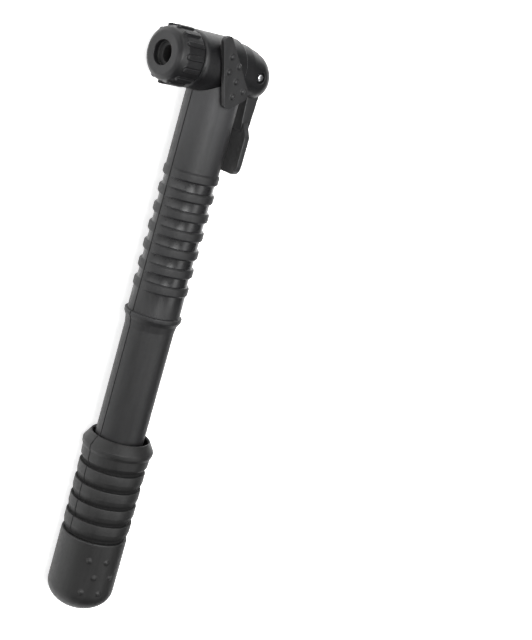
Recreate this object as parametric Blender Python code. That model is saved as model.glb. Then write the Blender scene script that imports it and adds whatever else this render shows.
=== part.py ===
"""Bicycle mini pump with a lever-lock valve head, as separate parts in metres.

The pump lies on its side: +X runs up the barrel from the handle to the head, +Y is the way
the valve opening faces, and +Z is up, along the lever's pin. Every place below is measured in
millimetres from the point where the barrel's axis meets the head's axis. The empty pump_frame
carries that point, so that the finished pump rests on z = 0 about the world origin.
"""

import math

import bmesh
import bpy
from mathutils import Matrix, Vector

# Units and roundness
MM = 0.001
SIDES = 32                  # facets round the barrel, handle and head
FINE_SIDES = 20             # facets round the parts inside the head and on the rod
SMALL_SIDES = 14            # facets round pins, screws and seals
REST_GAP = 0.3              # between parts that are fixed together
RUN_GAP = 0.15              # between parts that slide or turn on each other

# Barrel: a slightly lens-shaped tube of two moulded halves, with its edges at +Y and -Y
KEEL_SHIFT = 0.35           # the outside stands this far toward +Y from the bore
BARREL_TOP = -5.0
BARREL_END = -196.0
BARREL_RADIUS = 9.62        # above the collar
BARREL_FOOT_RADIUS = 9.15   # below the collar, inside the handle
BARREL_BORE = 7.6
LENS = 0.08                 # how far each half's centre lies past the axis, as a share
COLLAR_TOP = -91.5
COLLAR_RADIUS = 10.6
COLLAR_FOOT = -97.3
RIB_COUNT = 7
RIB_FIRST = -37.9
RIB_PITCH = 6.92
RIB_WIDTH = 3.5
RIB_RADIUS = 10.1
RIB_VALLEY = 9.2

# Handle
HANDLE_BORE = 10.45
HANDLE_RADIUS = 12.55
HANDLE_MOUTH = -139.75
LIP_RADIUS = 13.38
GROOVE_RADIUS = 11.45
RING_COUNT = 4
RING_FIRST = -151.75
RING_PITCH = 6.66
SLEEVE_END = -186.0
END_CAP_TOP = -178.9
DOME_START = -199.85
DOME_LENGTH = 9.15
CAVITY_END = -200.5         # bottom of the handle's bore
INSERT_END = -206.0

# Rod, piston and the barrel's lower bush
ROD_RADIUS = 3.0
ROD_TOP = -27.3
ROD_END = -205.8
PISTON_TOP = -22.3
PISTON_LENGTH = 12.2
PISTON_RADIUS = 7.35
GUIDE_TOP = -184.5
GUIDE_FLANGE = 2.1

# Head
HEAD_RADIUS = 10.1
HEAD_REAR = -3.0
HEAD_FRONT = 17.3
NECK_RADIUS = 8.6
NECK_END = 24.8
CHAMBER_RADIUS = 6.3
CHAMBER_REAR = -5.0
STEM_RADIUS = 2.9           # plunger's stem, between the chamber and the cam
LOBE_FRONT_RADIUS = 8.95
LOBE_RADIUS = 8.6
LOBE_Y = -12.9              # centre of the round rear end
LOBE_BEND = -8.0            # behind this place the lobe leans toward the handle
LOBE_LEAN = 0.2
SPIGOT_RADIUS = 7.3
SPIGOT_END = -20.1
SPIGOT_SEAL = -15.0
POCKET_RADIUS = 4.0         # check valve's pocket in the spigot
POCKET_TOP = -10.3
PASSAGE_RADIUS = 1.1

# Lever and its pin
PIN_X = -0.8
PIN_Y = -12.0
PIN_RADIUS = 1.25
PIN_HALF = 8.2
COUNTERBORE_RADIUS = 2.0
COUNTERBORE_Z = 7.9
SLOT_HALF = 3.5
LEVER_HALF = 3.2
CAM_LOW = 3.6               # cam radius with the lever down
CAM_RISE = 1.5              # what a quarter turn adds
ARM_FRONT = 1.5             # the arm lies this far behind the pin
ARM_REAR = 7.3
ARM_END = -21.0
PADDLE_INNER = 15.0         # the paddle curves round the barrel's axis
PADDLE_OUTER = 17.2
PADDLE_HALF = 8.0
PADDLE_END = -36.9

# Side plate: kite-shaped, with domed studs on a skewed grid
PLATE_INNER = 9.9
PLATE_OUTER = 11.6
PLATE_CORNERS = ((10.1, 13.5, 1.8), (-12.9, 4.7, 1.5), (-13.5, 2.2, 2.0), (-7.9, -5.9, 2.4), (11.3, 9.9, 1.5))
STUD_RADIUS = 1.0
STUD_HEIGHT = 0.7
STUD_FIRST = Vector((4.45, 7.45))
STUD_ALONG = Vector((-5.2, -0.3))
STUD_ACROSS = Vector((-2.8, -4.5))
STUD_GRID = ((0, 0), (0, 1), (1, 0), (1, 1), (1, 2), (2, 1))

# Valve cap, grommet and plunger, along the head's axis
CAP_REAR = 17.9
CAP_FRONT = 28.4
CAP_RADIUS = 9.8
CAP_BORE = 8.9
CAP_HOLE = 4.33
CAP_WEB = 26.7
BAR_COUNT = 14
BAR_RADIUS = 10.4
BAR_HALF = 0.85
BAR_REAR = 18.3
BAR_FRONT = 25.8
BAR_PHASE = math.radians(83.4)
GROMMET_REAR = 14.2
GROMMET_FRONT = 26.4
GROMMET_RADIUS = 6.0
GROMMET_NARROW = 2.95
GROMMET_WIDE = 3.9
PLUNGER_FRONT = 12.4
PLUNGER_RADIUS = 6.0
PLUNGER_SEAL = -3.5

# Check valve
BALL_RADIUS = 1.8
SEAT_HOLE = 1.2
SEAT_TOP = -17.6
SPRING_RADIUS = 1.3
SPRING_WIRE = 0.22
SPRING_TURNS = 4

# Handle studs: three rows, each row a step round from the one before
CAP_STUD_ROWS = (-185.8, -192.2, -198.5)
CAP_STUD_ANGLE = math.radians(49.8)
CAP_STUD_STEP = math.radians(16.0)

# Colour, roughness and metallic share of each material
LOOKS = {
    "black plastic": ((0.030, 0.030, 0.032), 0.42, 0.0),
    "satin plastic": ((0.045, 0.045, 0.047), 0.55, 0.0),
    "inner plastic": ((0.60, 0.60, 0.58), 0.45, 0.0),
    "rubber": ((0.015, 0.015, 0.016), 0.75, 0.0),
    "steel": ((0.62, 0.62, 0.63), 0.25, 1.0),
    "aluminium": ((0.78, 0.78, 0.79), 0.32, 1.0),
    "brass": ((0.72, 0.55, 0.25), 0.35, 1.0),
    "felt": ((0.35, 0.33, 0.30), 0.95, 0.0),
}


# Shapes

def place(axis, along, across, up, centre=(0.0, 0.0)):
    """Point at a distance along an axis, and off it by the other two axes in order."""
    across += centre[0]
    up += centre[1]
    if axis == "X":
        return along, across, up
    if axis == "Y":
        return across, along, up
    return across, up, along


def new_object(shape):
    """Scene object from a bmesh, with its faces pointing out."""
    bmesh.ops.recalc_face_normals(shape, faces=shape.faces)
    mesh = bpy.data.meshes.new("shape")
    shape.to_mesh(mesh)
    shape.free()
    item = bpy.data.objects.new("shape", mesh)
    bpy.context.scene.collection.objects.link(item)
    return item


def add_turned(shape, outline, sides, axis, centre=(0.0, 0.0), form=None):
    """Adds a closed outline of (along, radius) points, turned about an axis; returns its corners."""
    rings = []
    for along, radius in outline:
        if radius == 0:
            rings.append([shape.verts.new(place(axis, along, 0.0, 0.0, centre))])
            continue
        ring = []
        for step in range(sides):
            angle = 2 * math.pi * step / sides
            reach = radius * form(angle) if form else radius
            across = reach * math.cos(angle)
            up = reach * math.sin(angle)
            ring.append(shape.verts.new(place(axis, along, across, up, centre)))
        rings.append(ring)
    for ring, following in zip(rings, rings[1:] + rings[:1]):
        if len(ring) == 1 and len(following) == 1:
            continue
        for step in range(sides):
            corners = [ring[step % len(ring)], ring[(step + 1) % len(ring)]]
            corners += [following[(step + 1) % len(following)], following[step % len(following)]]
            shape.faces.new(list(dict.fromkeys(corners)))
    return [corner for ring in rings for corner in ring]


def turned(outline, sides, axis="X", centre=(0.0, 0.0), form=None):
    """Solid turned about an axis from a closed outline of (along, radius) points."""
    shape = bmesh.new()
    add_turned(shape, outline, sides, axis, centre, form)
    return new_object(shape)


def cylinder(low, high, radius, sides, axis="X", centre=(0.0, 0.0)):
    """Solid cylinder along an axis."""
    return turned(((low, 0.0), (low, radius), (high, radius), (high, 0.0)), sides, axis, centre)


def ring(low, high, inner, outer, sides, axis="X"):
    """Plain ring with a rectangular section."""
    return turned(((low, inner), (low, outer), (high, outer), (high, inner)), sides, axis)


def seal_ring(along, middle, thickness, sides, axis="X"):
    """Ring with a round section."""
    return turned(arc((along, middle), thickness, thickness, 0, 300, 5), sides, axis)


def arc(centre, reach_along, reach_out, first, last, steps):
    """Points on an ellipse quarter or more, by degrees from the direction of its first axis."""
    points = []
    for step in range(steps + 1):
        angle = math.radians(first + (last - first) * step / steps)
        points.append((centre[0] + reach_along * math.cos(angle), centre[1] + reach_out * math.sin(angle)))
    return points


def add_prism(shape, outline, low, high, axis="Z"):
    """Adds a flat outline, extruded along an axis; returns its corners."""
    floor = [shape.verts.new(place(axis, low, *point)) for point in outline]
    roof = [shape.verts.new(place(axis, high, *point)) for point in outline]
    shape.faces.new(floor)
    shape.faces.new(roof)
    count = len(outline)
    for index in range(count):
        following = (index + 1) % count
        shape.faces.new((floor[index], floor[following], roof[following], roof[index]))
    return floor + roof


def prism(outline, low, high, axis="Z"):
    """Solid with a flat outline, extruded along an axis."""
    shape = bmesh.new()
    add_prism(shape, outline, low, high, axis)
    return new_object(shape)


def block(low, high):
    """Box between two corners."""
    outline = ((low[0], low[1]), (high[0], low[1]), (high[0], high[1]), (low[0], high[1]))
    return prism(outline, low[2], high[2])


def rounded(corners, steps=3):
    """Outline through (x, y, radius) corners, with each corner rounded by an arc."""
    points = []
    count = len(corners)
    for index, (x, y, radius) in enumerate(corners):
        corner = Vector((x, y))
        before = (Vector(corners[index - 1][:2]) - corner).normalized()
        after = (Vector(corners[(index + 1) % count][:2]) - corner).normalized()
        half = before.angle(after) / 2
        middle = corner + (before + after).normalized() * radius / math.sin(half)
        start = corner + before * radius / math.tan(half) - middle
        end = corner + after * radius / math.tan(half) - middle
        sweep = start.angle_signed(end)
        for step in range(steps + 1):
            turn = Matrix.Rotation(-sweep * step / steps, 2)
            points.append(tuple(middle + turn @ start))
    return points


def grown(corners, gap):
    """The same rounded corners, moved out from their middle by about the gap."""
    middle = sum((Vector(corner[:2]) for corner in corners), Vector((0.0, 0.0))) / len(corners)
    moved = []
    for x, y, radius in corners:
        away = Vector((x, y)) - middle
        reach = middle + away * (1 + 2 * gap / away.length)
        moved.append((reach.x, reach.y, radius + gap))
    return moved


def combine(base, tool, operation):
    """Unites, cuts or intersects two solids, keeps the first and removes the second."""
    modifier = base.modifiers.new("combine", "BOOLEAN")
    modifier.operation = operation
    modifier.object = tool
    graph = bpy.context.evaluated_depsgraph_get()
    mesh = bpy.data.meshes.new_from_object(base.evaluated_get(graph))
    base.modifiers.clear()
    base.data = mesh
    bpy.data.objects.remove(tool)
    return base


def join(base, tool):
    return combine(base, tool, "UNION")


def cut(base, tool):
    return combine(base, tool, "DIFFERENCE")


# Materials

def material(name, colour, roughness, metallic=0.0):
    """Principled material of one colour."""
    made = bpy.data.materials.new(name)
    made.use_nodes = True
    shader = made.node_tree.nodes["Principled BSDF"]
    shader.inputs["Base Color"].default_value = (*colour, 1.0)
    shader.inputs["Roughness"].default_value = roughness
    shader.inputs["Metallic"].default_value = metallic
    return made


def part(name, item, look, frame, origin=(0.0, 0.0, 0.0)):
    """Names a finished solid, gives it its look, and stands its origin where it turns or slides."""
    colour, roughness, metallic = LOOKS[look]
    item.name = name
    item.data.name = name
    item.data.transform(Matrix.Translation(-Vector(origin)))
    item.data.transform(Matrix.Scale(MM, 4))
    item.data.materials.clear()
    item.data.materials.append(material(name, colour, roughness, metallic))
    item.data.shade_smooth()
    item.data.set_sharp_from_angle(angle=math.radians(30))
    item.parent = frame
    item.location = Vector(origin) * MM
    return item


# Barrel

def lens(angle):
    """Reach of the barrel's section at an angle from its moulded edge, as a share of its radius.

    Each half is an arc whose centre lies past the axis, so the two meet at an edge. The
    radius is the one halfway between an edge and the middle of a half.
    """
    def reach(lift):
        return math.sqrt(LENS * LENS * lift * lift + 1 + 2 * LENS) - LENS * lift
    return reach(abs(math.sin(angle))) / reach(math.sin(math.pi / 4))


def barrel_outline():
    """The barrel's outer profile, from the head down to the end inside the handle."""
    points = [(BARREL_TOP, 0.0), (BARREL_TOP, BARREL_RADIUS), (RIB_FIRST + 0.4, BARREL_RADIUS)]
    for index in range(RIB_COUNT):
        top = RIB_FIRST - index * RIB_PITCH
        points += [(top, RIB_VALLEY), (top - 0.25 * RIB_WIDTH, RIB_RADIUS)]
        points += [(top - 0.75 * RIB_WIDTH, RIB_RADIUS), (top - RIB_WIDTH, RIB_VALLEY)]
    points += [(points[-1][0] - 0.4, BARREL_RADIUS), (COLLAR_TOP, BARREL_RADIUS)]
    points += [(COLLAR_TOP, COLLAR_RADIUS - 0.2), (COLLAR_TOP - 0.3, COLLAR_RADIUS)]
    points += [(COLLAR_TOP - 1.3, COLLAR_RADIUS - 0.15), (COLLAR_FOOT, BARREL_FOOT_RADIUS)]
    points += [(BARREL_END, BARREL_FOOT_RADIUS), (BARREL_END, 0.0)]
    return points


def barrel_tube():
    """Ribbed outer tube, cut to a saddle where it meets the head."""
    tube = turned(barrel_outline(), SIDES, "X", (KEEL_SHIFT, 0.0), lens)
    cut(tube, cylinder(BARREL_END - 1, BARREL_TOP + 1, BARREL_BORE, SIDES))
    cut(tube, cylinder(HEAD_REAR - 10, CAP_REAR, HEAD_RADIUS + REST_GAP, SIDES, "Y"))
    rear_step = HEAD_REAR + REST_GAP
    cut(tube, block((-LOBE_RADIUS - 1.2, -20.0, -20.0), (0.0, rear_step, 20.0)))
    return tube


def rod_guide():
    """Bush that closes the barrel's lower end and carries the rod, with air holes through it."""
    plug = BARREL_BORE - RUN_GAP
    bore = ROD_RADIUS + RUN_GAP
    flange = BARREL_END - REST_GAP
    end = flange - GUIDE_FLANGE
    outline = [(GUIDE_TOP, bore), (GUIDE_TOP, plug - 0.6), (GUIDE_TOP - 0.6, plug), (flange, plug)]
    outline += [(flange, 8.7), (end, 8.7), (end, bore)]
    outline += [(-190.7, bore), (-190.7, 4.9), (-188.3, 4.9), (-188.3, bore)]
    bush = turned(outline, FINE_SIDES)
    for index in range(3):
        angle = 2 * math.pi * index / 3
        middle = (6.15 * math.cos(angle), 6.15 * math.sin(angle))
        cut(bush, cylinder(end - 1, GUIDE_TOP + 1, 0.6, 8, "X", middle))
    return bush


# Handle

def handle_sleeve():
    """Sleeve with a flared lip and a row of rings, each stepped at the top and tapered below."""
    outline = [(HANDLE_MOUTH, 11.0), (HANDLE_MOUTH, 11.75), (-143.4, LIP_RADIUS), (-144.3, LIP_RADIUS - 0.08)]
    outline += [(-145.5, 12.85), (-149.0, 12.6), (-150.5, GROOVE_RADIUS)]
    for index in range(RING_COUNT):
        top = RING_FIRST - index * RING_PITCH
        outline += [(top, GROOVE_RADIUS), (top - 0.1, HANDLE_RADIUS - 0.2), (top - 0.5, HANDLE_RADIUS)]
        outline += [(top - 4.0, HANDLE_RADIUS - 0.05), (top - 6.2, GROOVE_RADIUS)]
    tail = GROOVE_RADIUS - 0.2
    outline += [(END_CAP_TOP + REST_GAP, GROOVE_RADIUS), (END_CAP_TOP + REST_GAP, tail)]
    outline += [(SLEEVE_END, tail), (SLEEVE_END, HANDLE_BORE), (HANDLE_MOUTH - 0.6, HANDLE_BORE)]
    return turned(outline, SIDES)


def handle_end_cap():
    """Domed cap that closes the handle and holds the rod's insert, with domed studs on its sides."""
    socket = GROOVE_RADIUS + 0.1
    step = SLEEVE_END - REST_GAP
    pocket = INSERT_END - REST_GAP
    outline = [(END_CAP_TOP, socket), (END_CAP_TOP, HANDLE_RADIUS - 0.25)]
    outline += [(END_CAP_TOP - 0.4, HANDLE_RADIUS - 0.05)]
    dome = arc((DOME_START, 0.0), DOME_LENGTH, HANDLE_RADIUS - 0.05, 90, 180, 7)
    outline += dome[:-1] + [(dome[-1][0], 0.0)]
    outline += [(pocket, 0.0), (pocket, 5.1), (CAVITY_END, 5.1), (CAVITY_END, HANDLE_BORE)]
    outline += [(step, HANDLE_BORE), (step, socket)]
    cap = turned(outline, SIDES)
    studs = bmesh.new()
    for side in range(2):
        for row, along in enumerate(CAP_STUD_ROWS):
            for column in range(2):
                turn = CAP_STUD_ANGLE + side * math.pi + (2 * column + row % 2) * CAP_STUD_STEP
                stud = add_turned(studs, cap_stud(), 8, "Z", (along, 0.0))
                bmesh.ops.transform(studs, matrix=Matrix.Rotation(turn - math.pi / 2, 4, "X"), verts=stud)
    return join(cap, new_object(studs))


def cap_stud():
    """Low dome whose foot lies inside the end cap's wall."""
    foot = HANDLE_RADIUS - 0.8
    wall = [(foot, 0.0), (foot, 0.9), (HANDLE_RADIUS, 0.9)]
    return wall + [(HANDLE_RADIUS + 0.3, 0.5), (HANDLE_RADIUS + 0.4, 0.0)]


def rod_insert():
    """Threaded insert moulded into the end cap."""
    return ring(INSERT_END, CAVITY_END - REST_GAP, ROD_RADIUS + RUN_GAP, 4.8, FINE_SIDES)


def bump_ring():
    """Soft ring that stops the handle against the barrel's bush."""
    return ring(CAVITY_END + REST_GAP, CAVITY_END + 1.6, ROD_RADIUS + REST_GAP, 7.0, FINE_SIDES)


# Rod and piston

def piston_rod():
    return ring(ROD_END, ROD_TOP, 1.7, ROD_RADIUS, FINE_SIDES)


def piston():
    """Piston with a groove for its cup, turning freely between the screw's washer and the rod."""
    end = PISTON_TOP - PISTON_LENGTH
    hole = 1.6
    socket = ROD_RADIUS + RUN_GAP
    outline = [(PISTON_TOP, 3.35), (PISTON_TOP, PISTON_RADIUS - 0.5), (PISTON_TOP - 0.5, PISTON_RADIUS)]
    outline += [(-25.5, PISTON_RADIUS), (-25.5, 5.4), (-29.5, 5.4), (-29.5, PISTON_RADIUS)]
    outline += [(end, PISTON_RADIUS)]
    outline += [(end, socket), (-27.0, socket), (-27.0, hole), (-25.2, hole), (-25.2, 3.35)]
    return turned(outline, FINE_SIDES)


def piston_cup():
    """Rubber cup in the piston's groove, with its lip toward the head."""
    lip = BARREL_BORE - RUN_GAP
    outline = [(-29.2, 5.65), (-29.2, 7.1), (-27.6, 7.25), (-25.8, lip), (-25.9, lip - 0.5)]
    outline += [(-27.4, 6.55), (-25.9, 6.2), (-25.8, 5.65)]
    return turned(outline, FINE_SIDES)


def piston_washer():
    return ring(-25.05, -24.55, 1.6, 3.0, SMALL_SIDES)


def piston_screw():
    """Socket screw through the piston into the rod's end."""
    outline = [(-22.6, 0.0), (-22.6, 2.5), (-22.8, 2.75), (-24.4, 2.75), (-24.4, 1.4), (-36.0, 1.4)]
    outline += [(-36.0, 0.0)]
    screw = turned(outline, SMALL_SIDES)
    return cut(screw, cylinder(-23.7, -22.0, 1.2, 6))


# Head

def head_outline():
    """Profile of the head's cylinder and its threaded neck."""
    points = [(HEAD_REAR, 0.0), (HEAD_REAR, HEAD_RADIUS - 0.5), (HEAD_REAR + 0.5, HEAD_RADIUS)]
    points += [(HEAD_FRONT - 2.3, HEAD_RADIUS), (HEAD_FRONT - 0.7, HEAD_RADIUS - 0.35), (HEAD_FRONT, 9.3)]
    points += [(HEAD_FRONT, NECK_RADIUS), (NECK_END - 0.4, NECK_RADIUS)]
    points += [(NECK_END, NECK_RADIUS - 0.4), (NECK_END, 0.0)]
    return points


def head_lobe():
    """Round-ended block behind the head that carries the lever's pin and leans toward the handle."""
    dome = arc((LOBE_Y, 0.0), LOBE_RADIUS, LOBE_RADIUS, 90, 180, 8)
    outline = [(HEAD_REAR + 1, 0.0), (HEAD_REAR + 1, LOBE_FRONT_RADIUS)]
    outline += [(LOBE_BEND, LOBE_FRONT_RADIUS - 0.15)]
    outline += dome[:-1] + [(LOBE_Y - LOBE_RADIUS, 0.0)]
    lobe = turned(outline, SIDES, "Y")
    for vertex in lobe.data.vertices:
        vertex.co.x -= LOBE_LEAN * max(0.0, LOBE_BEND - vertex.co.y)
    return lobe


def head_spigot():
    """Plug that goes down into the barrel, with a groove for its seal."""
    groove = SPIGOT_RADIUS - 1.25
    outline = [(-2.0, 0.0), (-2.0, SPIGOT_RADIUS), (SPIGOT_SEAL + 0.8, SPIGOT_RADIUS)]
    outline += [(SPIGOT_SEAL + 0.8, groove)]
    outline += [(SPIGOT_SEAL - 0.8, groove), (SPIGOT_SEAL - 0.8, SPIGOT_RADIUS)]
    outline += [(SPIGOT_END + 0.3, SPIGOT_RADIUS)]
    outline += [(SPIGOT_END, SPIGOT_RADIUS - 0.3), (SPIGOT_END, 0.0)]
    return turned(outline, SIDES)


def lever_slot():
    """Room for the lever's cam, and for its arm from straight down to straight back."""
    sweep = cylinder(-SLOT_HALF, SLOT_HALF, CAM_LOW + CAM_RISE + REST_GAP, SIDES, "Z", (PIN_X, PIN_Y))
    swing = block((-14.0, LOBE_Y - 12, -SLOT_HALF), (PIN_X + ARM_REAR + 0.4, PIN_Y - 0.4, SLOT_HALF))
    return join(sweep, swing)


def head_body():
    """Moulded head: cylinder, neck, rear lobe and spigot, hollowed for everything it holds."""
    head = turned(head_outline(), SIDES, "Y")
    join(head, head_lobe())
    join(head, head_spigot())
    stem = STEM_RADIUS + REST_GAP
    chamber = [(NECK_END + 1, 0.0), (NECK_END + 1, CHAMBER_RADIUS), (CHAMBER_REAR, CHAMBER_RADIUS)]
    chamber += [(CHAMBER_REAR, stem), (PIN_Y, stem), (PIN_Y, 0.0)]
    cut(head, turned(chamber, FINE_SIDES, "Y"))
    pocket = [(SPIGOT_END - 1, 0.0), (SPIGOT_END - 1, POCKET_RADIUS), (POCKET_TOP, POCKET_RADIUS)]
    pocket += [(POCKET_TOP, PASSAGE_RADIUS), (-5.0, PASSAGE_RADIUS), (-5.0, 0.0)]
    cut(head, turned(pocket, SMALL_SIDES))
    cut(head, lever_slot())
    centre = (PIN_X, PIN_Y)
    cut(head, cylinder(-12.0, 12.0, PIN_RADIUS + RUN_GAP, SMALL_SIDES, "Z", centre))
    for side in (-1, 1):
        cut(head, cylinder(side * COUNTERBORE_Z, side * 12.0, COUNTERBORE_RADIUS, SMALL_SIDES, "Z", centre))
    return cut(head, prism(rounded(grown(PLATE_CORNERS, REST_GAP)), PLATE_INNER - REST_GAP, 13.0))


def side_plate():
    """Kite-shaped plate on the side of the head, with domed studs."""
    plate = prism(rounded(PLATE_CORNERS), PLATE_INNER, PLATE_OUTER)
    studs = bmesh.new()
    top = PLATE_OUTER + STUD_HEIGHT
    for along, across in STUD_GRID:
        middle = STUD_FIRST + along * STUD_ALONG + across * STUD_ACROSS
        dome = [(PLATE_OUTER - 0.5, 0.0), (PLATE_OUTER - 0.5, STUD_RADIUS), (PLATE_OUTER + 0.1, STUD_RADIUS)]
        dome += [(top - 0.2, 0.65 * STUD_RADIUS), (top, 0.0)]
        add_turned(studs, dome, 8, "Z", tuple(middle))
    return join(plate, new_object(studs))


def lever_pin():
    """Steel pin across the head's lobe, with small chamfers."""
    edge = PIN_RADIUS - 0.25
    outline = [(-PIN_HALF, 0.0), (-PIN_HALF, edge), (0.25 - PIN_HALF, PIN_RADIUS)]
    outline += [(PIN_HALF - 0.25, PIN_RADIUS)]
    outline += [(PIN_HALF, edge), (PIN_HALF, 0.0)]
    return turned(outline, SMALL_SIDES, "Z", (PIN_X, PIN_Y))


# Lever

def cam_radius(degrees):
    """Cam radius by the direction from the pin, with the lever down: it grows as the lever lifts."""
    if degrees <= 90:
        return CAM_LOW + CAM_RISE * (90 - degrees) / 90
    if degrees <= 180:
        return CAM_LOW
    if degrees <= 300:
        return CAM_LOW + 0.5
    return CAM_LOW + CAM_RISE


def cam():
    """Spiral cam round the pin."""
    outline = []
    for degrees in range(0, 360, 15):
        angle = math.radians(degrees)
        reach = cam_radius(degrees)
        outline.append((PIN_X + reach * math.cos(angle), PIN_Y + reach * math.sin(angle)))
    return prism(outline, -LEVER_HALF, LEVER_HALF)


def lock_lever():
    """Lever: cam and arm in the head's slot, and a thumb paddle curved round the barrel."""
    front = PIN_Y - ARM_FRONT
    rear = PIN_Y - ARM_REAR
    arm = [(PIN_X, PIN_Y - 1.0), (PIN_X, rear + 2.4), (-5.5, rear), (ARM_END, rear + 0.8)]
    arm += [(ARM_END, front - 0.8), (-8.7, front), (PIN_X - 3.4, front + 1.0)]
    lever = join(cam(), prism(arm, -LEVER_HALF, LEVER_HALF))
    paddle = [(-17.5, LEVER_HALF, 0.8), (-22.5, PADDLE_HALF, 2.0), (PADDLE_END, PADDLE_HALF, 3.5)]
    paddle += [(PADDLE_END, -PADDLE_HALF, 3.5), (-22.5, -PADDLE_HALF, 2.0), (-17.5, -LEVER_HALF, 0.8)]
    shell = prism(rounded(paddle), -20.0, -5.0, "Y")
    combine(shell, ring(PADDLE_END - 1, -16.0, PADDLE_INNER, PADDLE_OUTER, 2 * SIDES), "INTERSECT")
    join(lever, shell)
    return cut(lever, cylinder(-9.0, 9.0, PIN_RADIUS + RUN_GAP, SMALL_SIDES, "Z", (PIN_X, PIN_Y)))


# Valve end

def valve_cap():
    """Screw cap over the grommet, with raised grip bars round its rear."""
    outline = [(CAP_REAR, CAP_BORE), (CAP_REAR, CAP_RADIUS - 0.3), (CAP_REAR + 0.3, CAP_RADIUS)]
    outline += [(25.0, CAP_RADIUS)]
    outline += [(26.8, 9.3), (27.9, 8.5), (CAP_FRONT, 7.6), (CAP_FRONT, CAP_HOLE), (CAP_WEB, CAP_HOLE)]
    outline += [(CAP_WEB, GROMMET_RADIUS + 0.35), (NECK_END + REST_GAP, GROMMET_RADIUS + 0.35)]
    outline += [(NECK_END + REST_GAP, CAP_BORE)]
    cap = turned(outline, SIDES, "Y")
    bars = bmesh.new()
    tip = BAR_FRONT - BAR_HALF
    shape = [(-BAR_HALF, BAR_REAR)] + arc((0.0, tip), BAR_HALF, BAR_HALF, 180, 0, 4) + [(BAR_HALF, BAR_REAR)]
    for index in range(BAR_COUNT):
        bar = add_prism(bars, shape, CAP_RADIUS - 0.6, BAR_RADIUS)
        turn = BAR_PHASE + 2 * math.pi * index / BAR_COUNT
        bmesh.ops.transform(bars, matrix=Matrix.Rotation(math.pi / 2 - turn, 4, "Y"), verts=bar)
    return join(cap, new_object(bars))


def valve_grommet():
    """Reversible rubber seal: narrow bore at the front, wide bore behind."""
    outline = [(GROMMET_REAR, GROMMET_WIDE), (GROMMET_REAR, GROMMET_RADIUS), (GROMMET_FRONT, GROMMET_RADIUS)]
    outline += [(GROMMET_FRONT, 4.2), (25.4, 4.1), (25.4, GROMMET_NARROW), (19.0, GROMMET_NARROW)]
    outline += [(18.2, GROMMET_WIDE)]
    return turned(outline, FINE_SIDES, "Y")


def cam_plunger():
    """Plunger between the cam and the grommet, with air holes through its waist."""
    rear = PIN_Y + CAM_LOW + REST_GAP
    flange = CHAMBER_REAR + REST_GAP
    outline = [(rear, 0.0), (rear, STEM_RADIUS), (flange, STEM_RADIUS), (flange, PLUNGER_RADIUS)]
    outline += [(PLUNGER_SEAL - 0.8, PLUNGER_RADIUS), (PLUNGER_SEAL - 0.8, 4.85), (PLUNGER_SEAL + 0.8, 4.85)]
    outline += [(PLUNGER_SEAL + 0.8, PLUNGER_RADIUS), (-1.9, PLUNGER_RADIUS), (-1.9, 4.2), (8.4, 4.2)]
    outline += [(8.4, PLUNGER_RADIUS), (PLUNGER_FRONT, PLUNGER_RADIUS), (PLUNGER_FRONT, 2.8), (9.9, 2.8)]
    outline += [(9.9, 1.5), (-1.0, 1.5), (-1.0, 0.0)]
    plunger = turned(outline, FINE_SIDES, "Y")
    return cut(plunger, cylinder(-6.0, 6.0, 1.2, 8, "X", (1.0, 0.0)))


def pin_depressor():
    """Hollow peg in the plunger's face that presses the tyre valve's pin."""
    outline = [(10.2, 0.6), (10.2, 2.5), (12.2, 2.5), (12.2, 1.3), (18.2, 1.3), (18.5, 1.0), (18.5, 0.6)]
    return turned(outline, SMALL_SIDES, "Y")


# Check valve

def valve_seat():
    """Press-in seat that the ball closes."""
    end = SPIGOT_END + 0.1
    outer = POCKET_RADIUS - REST_GAP
    return turned([(SEAT_TOP, SEAT_HOLE), (SEAT_TOP, outer), (end, outer), (end, SEAT_HOLE)], SMALL_SIDES)


def ball_centre():
    """Where the ball's middle lies when it rests in its seat."""
    return SEAT_TOP + math.sqrt(BALL_RADIUS ** 2 - SEAT_HOLE ** 2) + 0.1


def check_ball():
    middle = ball_centre()
    outline = arc((middle, 0.0), BALL_RADIUS, BALL_RADIUS, 180, 0, 6)
    outline = [(middle - BALL_RADIUS, 0.0)] + outline[1:-1] + [(middle + BALL_RADIUS, 0.0)]
    return turned(outline, 10)


def check_spring():
    """Coil spring between the ball and the pocket's end, with flat-cut ends."""
    first = ball_centre() + BALL_RADIUS + SPRING_WIRE
    last = POCKET_TOP - REST_GAP - SPRING_WIRE
    steps = SPRING_TURNS * 12
    sides = 5
    shape = bmesh.new()
    rings = []
    for step in range(steps + 1):
        angle = 2 * math.pi * SPRING_TURNS * step / steps
        along = first + (last - first) * step / steps
        ring_points = []
        for side in range(sides):
            around = 2 * math.pi * side / sides
            reach = SPRING_RADIUS + SPRING_WIRE * math.cos(around)
            point = (along + SPRING_WIRE * math.sin(around), reach * math.cos(angle), reach * math.sin(angle))
            ring_points.append(shape.verts.new(point))
        rings.append(ring_points)
    for here, following in zip(rings, rings[1:]):
        for side in range(sides):
            beside = (side + 1) % sides
            shape.faces.new((here[side], here[beside], following[beside], following[side]))
    shape.faces.new(rings[0])
    shape.faces.new(rings[-1])
    return new_object(shape)


# Assembly

def clear_scene():
    for item in list(bpy.data.objects):
        bpy.data.objects.remove(item)


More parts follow.
